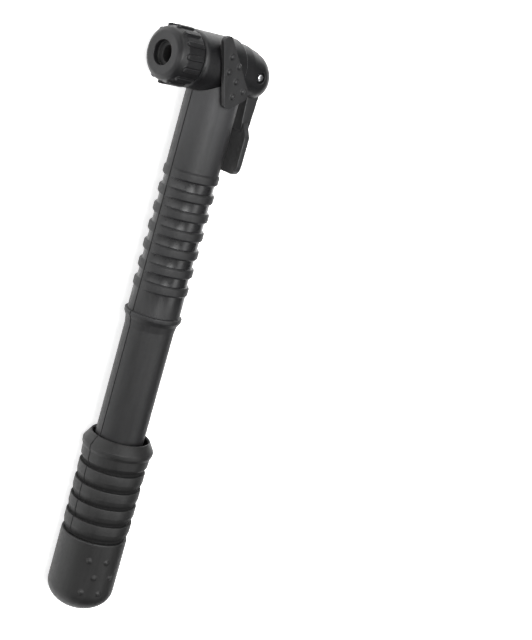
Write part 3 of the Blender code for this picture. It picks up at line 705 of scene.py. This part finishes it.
def handle_grip():
    """Sleeve with a flared lip and rings that are stepped at the top and tapered below."""
    points = [(HANDLE_MOUTH, HANDLE_BORE + 0.35, 0.15), (HANDLE_MOUTH, MOUTH_RADIUS, 0.2)]
    points += [(LIP_TOP, LIP_RADIUS, 0.55), (LIP_TOP - 1.4, LIP_RADIUS - 0.1, 0.5)]
    points += [(LIP_TOP - 2.6, HANDLE_RADIUS + 0.25, 0.5), (LIP_TOP - 5.9, HANDLE_RADIUS + 0.1, 0.6)]
    points += [(LIP_TOP - 7.6, GROOVE_RADIUS, 0.4)]
    for index in range(RING_COUNT):
        top = RING_FIRST - index * RING_PITCH
        points += [(top, GROOVE_RADIUS, 0.1), (top - 0.05, HANDLE_RADIUS, 0.22)]
        points += [(top - 3.5, HANDLE_RADIUS, 0.8), (top - 5.1, HANDLE_RADIUS - 0.35, 0.5)]
        points += [(top - 6.2, GROOVE_RADIUS, 0.35)]
    tail = GROOVE_RADIUS - 0.2
    points += [(END_CAP_TOP + 0.15, GROOVE_RADIUS, 0.1), (END_CAP_TOP + 0.15, tail, 0.0)]
    points += [(SLEEVE_END, tail, 0.2), (SLEEVE_END, HANDLE_BORE, 0.2)]
    points += [(HANDLE_MOUTH - 0.6, HANDLE_BORE, 0.3)]
    grip = turned(rounded(points), SIDES, "X", (0.0, 0.0), handle_form, BARREL_SEAMS)
    # painted shade along the seams and in the grooves below the rings
    mark_seam_and_groove_shade(grip, 0.35, (-149.0, END_CAP_TOP))
    finish_piece("handle_grip", grip, HANDLE_PLASTIC, "handle", "black_plastic", "handle_sleeve")


def dome_profile(base, radius, height):
    """Profile of a domed stud whose foot flares into the surface that carries it."""
    points = [(base - 0.5, 0.0), (base - 0.5, radius + 0.25), (base - 0.02, radius + 0.25)]
    points += [(base + 0.05, radius + 0.05)]
    crown = arc((base, 0.0), height, radius, 78, 0, 6)
    return points + crown[:-1] + [(base + height, 0.0)]


def handle_cap():
    """Domed end cap with rows of studs on both sides."""
    socket = GROOVE_RADIUS + 0.1
    step = SLEEVE_END - 0.3
    points = [(END_CAP_TOP, 0.0, 0.0), (END_CAP_TOP, HANDLE_RADIUS, 0.35)]
    outline = rounded(points + [(END_CAP_TOP - 5.0, HANDLE_RADIUS, 0.0)])[:-1]
    dome = arc((DOME_START, 0.0), DOME_LENGTH, HANDLE_RADIUS, 90, 180, 28)
    outline += dome[:-1] + [(dome[-1][0], 0.0)]
    cap = turned(outline)
    studs = bmesh.new()
    for side in range(2):
        for row, along in enumerate(CAP_STUD_ROWS):
            for column in range(2):
                turn = CAP_STUD_ANGLE + side * math.pi + (2 * column + row % 2) * CAP_STUD_STEP
                profile = dome_profile(HANDLE_RADIUS - 0.03, CAP_STUD_RADIUS, CAP_STUD_HEIGHT)
                stud = add_turned(studs, profile, even_angles(32), "Z", (along, 0.0))
                bmesh.ops.transform(studs, matrix=Matrix.Rotation(turn - math.pi / 2, 4, "X"), verts=stud)
    join(cap, new_object(studs))
    melted(cap, VOXEL, 2)
    hollow = [(END_CAP_TOP + 1, 0.0), (END_CAP_TOP + 1, socket), (step, socket), (step, HANDLE_BORE)]
    hollow += [(CAVITY_END, HANDLE_BORE), (CAVITY_END, INSERT_RADIUS)]
    hollow += [(INSERT_POCKET, INSERT_RADIUS), (INSERT_POCKET, 0.0)]
    cut(cap, turned(hollow))
    finish_piece("handle_cap", cap, HANDLE_PLASTIC, "handle", "black_plastic", "handle_end_cap")


def head_lobe():
    """Round-ended block behind the head that carries the lever's pin and leans toward the handle."""
    dome = arc((LOBE_Y, 0.0), LOBE_RADIUS, LOBE_RADIUS, 90, 180, 20)
    outline = [(HEAD_REAR + 1, 0.0), (HEAD_REAR + 1, LOBE_FRONT_RADIUS), (LOBE_BEND, LOBE_FRONT_RADIUS - 0.1)]
    outline += dome[:-1] + [(LOBE_Y - LOBE_RADIUS, 0.0)]
    lobe = turned(outline, SIDES, "Y")
    for vertex in lobe.data.vertices:
        vertex.co.x -= LOBE_LEAN * max(0.0, LOBE_BEND - vertex.co.y)
    return lobe


def plate_boss():
    """Wedge that carries the plate's upper end."""
    shape = bmesh.new()
    for corner in add_prism(shape, rounded(grown(PLATE_CORNERS, -BOSS_INSET)), BOSS_FOOT, PLATE_INNER):
        depth = PLATE_INNER - corner.co.z
        corner.co.x -= BOSS_SLOPE.x * depth
        corner.co.y -= BOSS_SLOPE.y * depth
    return cut(new_object(shape), block((-40.0, -40.0, 0.0), (BOSS_LOW, 40.0, 20.0)))


def head_moulding():
    """Cylinder, neck, lobe and spigot in one moulding, with the lever's slot and the plate's recess."""
    points = [(HEAD_REAR, 0.0), (HEAD_REAR, HEAD_RADIUS - 0.35), (HEAD_REAR + 0.35, HEAD_RADIUS)]
    points += [(HEAD_FRONT - 1.6, HEAD_RADIUS), (HEAD_FRONT - 0.6, HEAD_RADIUS - 0.2), (HEAD_FRONT, 9.4)]
    points += [(HEAD_FRONT, NECK_RADIUS), (NECK_END - 0.4, NECK_RADIUS), (NECK_END, NECK_RADIUS - 0.4)]
    head = turned(points + [(NECK_END, 0.0)], SIDES, "Y")
    join(head, head_lobe())
    join(head, cylinder(SPIGOT_END, -2.0, SPIGOT_RADIUS))
    join(head, plate_boss())
    cut(head, cylinder(-SLOT_HALF, SLOT_HALF, CAM_LOW + CAM_RISE + 0.3, FINE_SIDES, "Z", PIN))
    cut(head, block((-14.0, LOBE_Y - 12, -SLOT_HALF), (PIN[0] + ARM_REAR + 0.4, PIN[1] - 0.4, SLOT_HALF)))
    cut(head, cylinder(-12.0, 12.0, PIN_RADIUS + PIN_GAP, FINE_SIDES, "Z", PIN))
    for side in (-1, 1):
        cut(head, cylinder(side * COUNTERBORE_Z, side * 12.0, COUNTERBORE_RADIUS, FINE_SIDES, "Z", PIN))
    cut(head, prism(rounded(grown(PLATE_CORNERS, 0.25)), PLATE_INNER - 0.3, 13.0))
    melted(head, VOXEL, 3)
    chamber = [(NECK_END + 1, 0.0), (NECK_END + 1, CHAMBER_RADIUS), (CHAMBER_REAR, CHAMBER_RADIUS)]
    chamber += [(CHAMBER_REAR, STEM_BORE), (PIN[1], STEM_BORE), (PIN[1], 0.0)]
    cut(head, turned(chamber, FINE_SIDES, "Y"))
    for vertex in head.data.vertices:
        x, y, z = vertex.co
        if x > HEAD_RADIUS - 1 and HEAD_REAR < y < HEAD_FRONT - 1 and abs(z) < 1.3 * SEAM_HALF:
            vertex.co.x -= SEAM_DEPTH * (1 - abs(z) / (1.3 * SEAM_HALF))
    finish_piece("head_moulding", head, HEAD_PLASTIC, "pump", "black_plastic", "head_body")


def studded_plate():
    """Kite-shaped plate with rounded edges and domed studs."""
    plate = prism(rounded(PLATE_CORNERS, 8), PLATE_INNER, PLATE_OUTER)
    studs = bmesh.new()
    for along, across in STUD_GRID:
        middle = STUD_FIRST + along * STUD_ALONG + across * STUD_ACROSS
        profile = dome_profile(PLATE_OUTER, STUD_RADIUS, STUD_HEIGHT)
        add_turned(studs, profile, even_angles(28), "Z", tuple(middle))
    join(plate, new_object(studs))
    melted(plate, PLATE_VOXEL, 3)
    finish_piece("studded_plate", plate, PLATE_PLASTIC, "pump", "satin_plastic", "side_plate")


def cross_pin():
    """Steel pin with rounded, polished ends."""
    points = [(-PIN_HALF, 0.0, 0.0), (-PIN_HALF, PIN_RADIUS, 0.3), (PIN_HALF, PIN_RADIUS, 0.3)]
    pin = turned(rounded(points + [(PIN_HALF, 0.0, 0.0)]), FINE_SIDES, "Z", PIN)
    finish_piece("cross_pin", pin, STEEL, "pump", "steel", "lever_pin")


def cam_radius(degrees):
    """Cam radius by the direction from the pin, with the lever down: it grows as the lever lifts."""
    if degrees <= 90:
        return CAM_LOW + CAM_RISE * (90 - degrees) / 90
    if degrees <= 180:
        return CAM_LOW
    if degrees <= 300:
        return CAM_LOW + 0.5
    return CAM_LOW + CAM_RISE


def folding_lever():
    """Lever: cam and arm in the head's slot, and a thumb paddle curved round the barrel."""
    outline = []
    for degrees in range(0, 360, 5):
        angle = math.radians(degrees)
        reach = cam_radius(degrees)
        outline.append((PIN[0] + reach * math.cos(angle), PIN[1] + reach * math.sin(angle)))
    front = PIN[1] - ARM_FRONT
    rear = PIN[1] - ARM_REAR
    arm = [(PIN[0], PIN[1] - 1.0), (PIN[0], rear + 2.4), (-5.5, rear), (ARM_END, rear + 0.8)]
    arm += [(ARM_END, front - 0.8), (-8.7, front), (PIN[0] - 3.4, front + 1.0)]
    lever = join(prism(outline, -LEVER_HALF, LEVER_HALF), prism(arm, -LEVER_HALF, LEVER_HALF))
    paddle = [(PADDLE_TOP, LEVER_HALF, 0.8), (PADDLE_SHOULDER, PADDLE_HALF, 2.2)]
    paddle += [(PADDLE_END, PADDLE_HALF, 4.6), (PADDLE_END, -PADDLE_HALF, 4.6)]
    paddle += [(PADDLE_SHOULDER, -PADDLE_HALF, 2.2), (PADDLE_TOP, -LEVER_HALF, 0.8)]
    shell = prism(rounded(paddle, 8), -20.0, -5.0, "Y")
    wall = turned(((PADDLE_END - 1, PADDLE_INNER), (PADDLE_END - 1, PADDLE_OUTER), (-16.0, PADDLE_OUTER),
                   (-16.0, PADDLE_INNER)), 2 * SIDES)
    combine(shell, wall, "INTERSECT")
    join(lever, shell)
    cut(lever, cylinder(-9.0, 9.0, PIN_RADIUS + PIN_GAP, FINE_SIDES, "Z", PIN))
    melted(lever, VOXEL, 3)
    finish_piece("folding_lever", lever, LEVER_PLASTIC, "lever", "black_plastic", "lock_lever")


def knurled_cap():
    """Screw cap with a rounded front edge and raised grip bars."""
    points = [(CAP_REAR, CAP_BORE, 0.0), (CAP_REAR, CAP_RADIUS, 0.5), (25.0, CAP_RADIUS, 1.2)]
    points += [(27.4, 9.0, 1.6), (CAP_FRONT, 7.4, 1.2), (CAP_FRONT, CAP_HOLE, 0.25), (CAP_WEB, CAP_HOLE, 0.0)]
    points += [(CAP_WEB, GROMMET_RADIUS + 0.35, 0.0), (NECK_END + 0.3, GROMMET_RADIUS + 0.35, 0.0)]
    points += [(NECK_END + 0.3, CAP_BORE, 0.0)]
    cap = turned(rounded(points, 6), SIDES, "Y")
    bars = bmesh.new()
    tip = BAR_FRONT - BAR_HALF
    shape = [(-BAR_HALF, BAR_REAR)] + arc((0.0, tip), BAR_HALF, BAR_HALF, 180, 0, 10) + [(BAR_HALF, BAR_REAR)]
    for index in range(BAR_COUNT):
        bar = add_prism(bars, shape, CAP_RADIUS - 0.6, BAR_RADIUS)
        turn = BAR_PHASE + 2 * math.pi * index / BAR_COUNT
        bmesh.ops.transform(bars, matrix=Matrix.Rotation(math.pi / 2 - turn, 4, "Y"), verts=bar)
    join(cap, new_object(bars))
    melted(cap, FINE_VOXEL, 2)
    finish_piece("knurled_cap", cap, CAP_PLASTIC, "cap", "black_plastic", "valve_cap")


def stepped_grommet():
    """Reversible rubber seal with a ledge round its narrow bore."""
    points = [(GROMMET_REAR, GROMMET_WIDE, 0.2), (GROMMET_REAR, GROMMET_RADIUS, 0.3)]
    points += [(GROMMET_FRONT, GROMMET_RADIUS, 0.3), (GROMMET_FRONT, 4.25, 0.2), (25.4, 4.15, 0.15)]
    points += [(25.4, GROMMET_NARROW, 0.25), (19.0, GROMMET_NARROW, 0.3), (18.2, GROMMET_WIDE, 0.3)]
    grommet = turned(rounded(points), FINE_SIDES, "Y")
    finish_piece("stepped_grommet", grommet, RUBBER, "grommet", "rubber", "valve_grommet")


def polished_rod():
    """Hollow rod with chamfered ends."""
    points = [(ROD_END, ROD_BORE, 0.0), (ROD_END, ROD_RADIUS, 0.3)]
    points += [(ROD_TOP, ROD_RADIUS, 0.3), (ROD_TOP, ROD_BORE, 0.0)]
    rod = turned(rounded(points), FINE_SIDES)
    finish_piece("drawn_rod", rod, ALUMINIUM, "handle", "aluminium", "piston_rod")


def barrel_bush():
    """Bush that closes the barrel's lower end, with air holes round the rod."""
    bore = ROD_RADIUS + ROD_GAP
    outside = BARREL_BORE - ROD_GAP
    flange = BARREL_END - 0.3
    points = [(GUIDE_TOP, bore, 0.1), (GUIDE_TOP, outside, 0.5), (flange, outside, 0.1)]
    points += [(flange, GUIDE_FLANGE, 0.2), (GUIDE_END, GUIDE_FLANGE, 0.5), (GUIDE_END, bore, 0.2)]
    points += [(WIPER_LOW, bore, 0.0), (WIPER_LOW, WIPER_RADIUS, 0.0)]
    points += [(WIPER_HIGH, WIPER_RADIUS, 0.0), (WIPER_HIGH, bore, 0.0)]
    bush = turned(rounded(points), FINE_SIDES)
    for index in range(3):
        angle = 2 * math.pi * index / 3
        middle = (AIR_HOLE_CIRCLE * math.cos(angle), AIR_HOLE_CIRCLE * math.sin(angle))
        cut(bush, cylinder(GUIDE_END - 1, GUIDE_TOP + 1, AIR_HOLE, 24, "X", middle))
    finish_piece("barrel_bush", bush, ACETAL, "pump", "inner_plastic", "rod_guide")


def coil_spring():
    """Wire coil behind the ball, built at one length."""
    first = (SPRING_LOW.x - ORIGIN.x) / MM + SPRING_WIRE
    last = (SPRING_HIGH.x - ORIGIN.x) / MM - SPRING_WIRE
    shape = bmesh.new()
    rings = []
    for step in range(SPRING_TURNS * SPRING_STEPS + 1):
        turn = 2 * math.pi * step / SPRING_STEPS
        along = first + (last - first) * step / (SPRING_TURNS * SPRING_STEPS)
        ring = []
        for around in even_angles(WIRE_SIDES):
            reach = SPRING_RADIUS + SPRING_WIRE * math.cos(around)
            lift = SPRING_WIRE * math.sin(around)
            ring.append(shape.verts.new((along + lift, reach * math.cos(turn), reach * math.sin(turn))))
        rings.append(ring)
    for ring, following in zip(rings, rings[1:]):
        for side in range(WIRE_SIDES):
            beside = (side + 1) % WIRE_SIDES
            shape.faces.new((ring[side], ring[beside], following[beside], following[side]))
    shape.faces.new(rings[0])
    shape.faces.new(rings[-1])
    spring = finish_piece("coil_spring", new_object(shape), STEEL, "pump", "steel", "check_spring")
    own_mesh(spring)


def dress_frame_nodes():
    """Procedural materials on the inner parts, whose frame shapes stay."""
    looks = {
        "barrel_seal": RUBBER, "plunger_seal": RUBBER, "piston_cup": RUBBER, "bump_ring": RUBBER,
        "rod_wiper": FELT, "valve_seat": BRASS, "pin_depressor": BRASS, "rod_insert": BRASS,
        "check_ball": STEEL, "piston_washer": STEEL, "piston_screw": STEEL,
        "cam_plunger": ACETAL, "piston": ACETAL,
    }
    for name, look in looks.items():
        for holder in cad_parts[name].material_slots:
            holder.material = look


# Stage

def in_frame(place_mm):
    return ORIGIN + Vector(place_mm) * MM


def add_camera():
    data = bpy.data.cameras.new("camera")
    data.lens = LENS_LENGTH
    data.clip_start = 0.01
    data.clip_end = 20.0
    camera = bpy.data.objects.new("camera", data)
    right = VIEW_ALONG.cross(VIEW_UP).normalized()
    up = right.cross(VIEW_ALONG).normalized()
    turn = Matrix((right, up, -VIEW_ALONG.normalized())).transposed().to_4x4()
    camera.matrix_world = Matrix.Translation(in_frame(VIEW_FROM)) @ turn
    bpy.context.scene.collection.objects.link(camera)
    bpy.context.scene.camera = camera


def add_lamp(name, offset, size, power, aim=(-80.0, 0.0, 0.0)):
    """Soft square lamp that faces the pump's middle."""
    data = bpy.data.lights.new(name, "AREA")
    data.shape = "RECTANGLE"
    data.size = size[0]
    data.size_y = size[1]
    data.energy = power
    lamp = bpy.data.objects.new(name, data)
    lamp.location = in_frame(offset)
    lamp.rotation_mode = "QUATERNION"
    lamp.rotation_quaternion = (in_frame(aim) - lamp.location).to_track_quat("-Z", "X")
    bpy.context.scene.collection.objects.link(lamp)


def add_surround():
    """Dim surround, brighter overhead and toward the head than behind the lever and the handle."""
    world = bpy.data.worlds.new("studio")
    bpy.context.scene.world = world
    world.use_nodes = True
    tree = world.node_tree
    surround = tree.nodes["Background"]
    surround.inputs["Color"].default_value = (1.0, 1.0, 1.0, 1.0)
    toward = node(tree, "ShaderNodeTexCoord").outputs["Generated"]
    sides = {0: toward, 1: Vector(BRIGHT_SIDE).normalized()}
    lean = node(tree, "ShaderNodeVectorMath", sides, operation="DOT_PRODUCT").outputs["Value"]
    tree.links.new(spread(tree, lean, -0.3, 0.8, 0.02, 0.22), surround.inputs["Strength"])


def add_backdrop():
    """White dome far behind the pump, which neither lights it nor shades it."""
    bpy.ops.mesh.primitive_uv_sphere_add(segments=64, ring_count=32, radius=BACKDROP_RADIUS)
    dome = bpy.context.object
    dome.name = "backdrop"
    dome.visible_diffuse = False
    dome.visible_glossy = False
    dome.visible_transmission = False
    dome.visible_shadow = False
    made, _, shader, _ = start_material("backdrop_white")
    shader.inputs["Base Color"].default_value = (0.0, 0.0, 0.0, 1.0)
    shader.inputs["Emission Color"].default_value = (1.0, 1.0, 1.0, 1.0)
    shader.inputs["Emission Strength"].default_value = 1.0
    dome.data.materials.append(made)


def add_stage():
    """Floor, backdrop, lamps and a dim surround."""
    bpy.ops.mesh.primitive_plane_add(size=FLOOR_SIZE, location=(0.0, 0.0, 0.0))
    floor = bpy.context.object
    floor.name = "floor"
    floor.data.materials.append(floor_paper("floor_paper"))
    add_backdrop()
    add_lamp("overhead", (60.0, 330.0, 820.0), (0.45, 0.45), 7.5)
    add_lamp("sky", (0.0, -250.0, 830.0), (0.3, 1.2), 5.6)
    add_lamp("head_side", (750.0, 60.0, 420.0), (0.4, 0.4), 2.2)
    add_lamp("front_low", (-80.0, 800.0, 190.0), (0.9, 0.25), 3.0)
    add_surround()
    bpy.context.scene.view_settings.view_transform = "Standard"


def main():
    add_camera()
    barrel_shell()
    handle_grip()
    handle_cap()
    head_moulding()
    studded_plate()
    cross_pin()
    folding_lever()
    knurled_cap()
    stepped_grommet()
    polished_rod()
    barrel_bush()
    coil_spring()
    dress_frame_nodes()
    add_stage()


main()
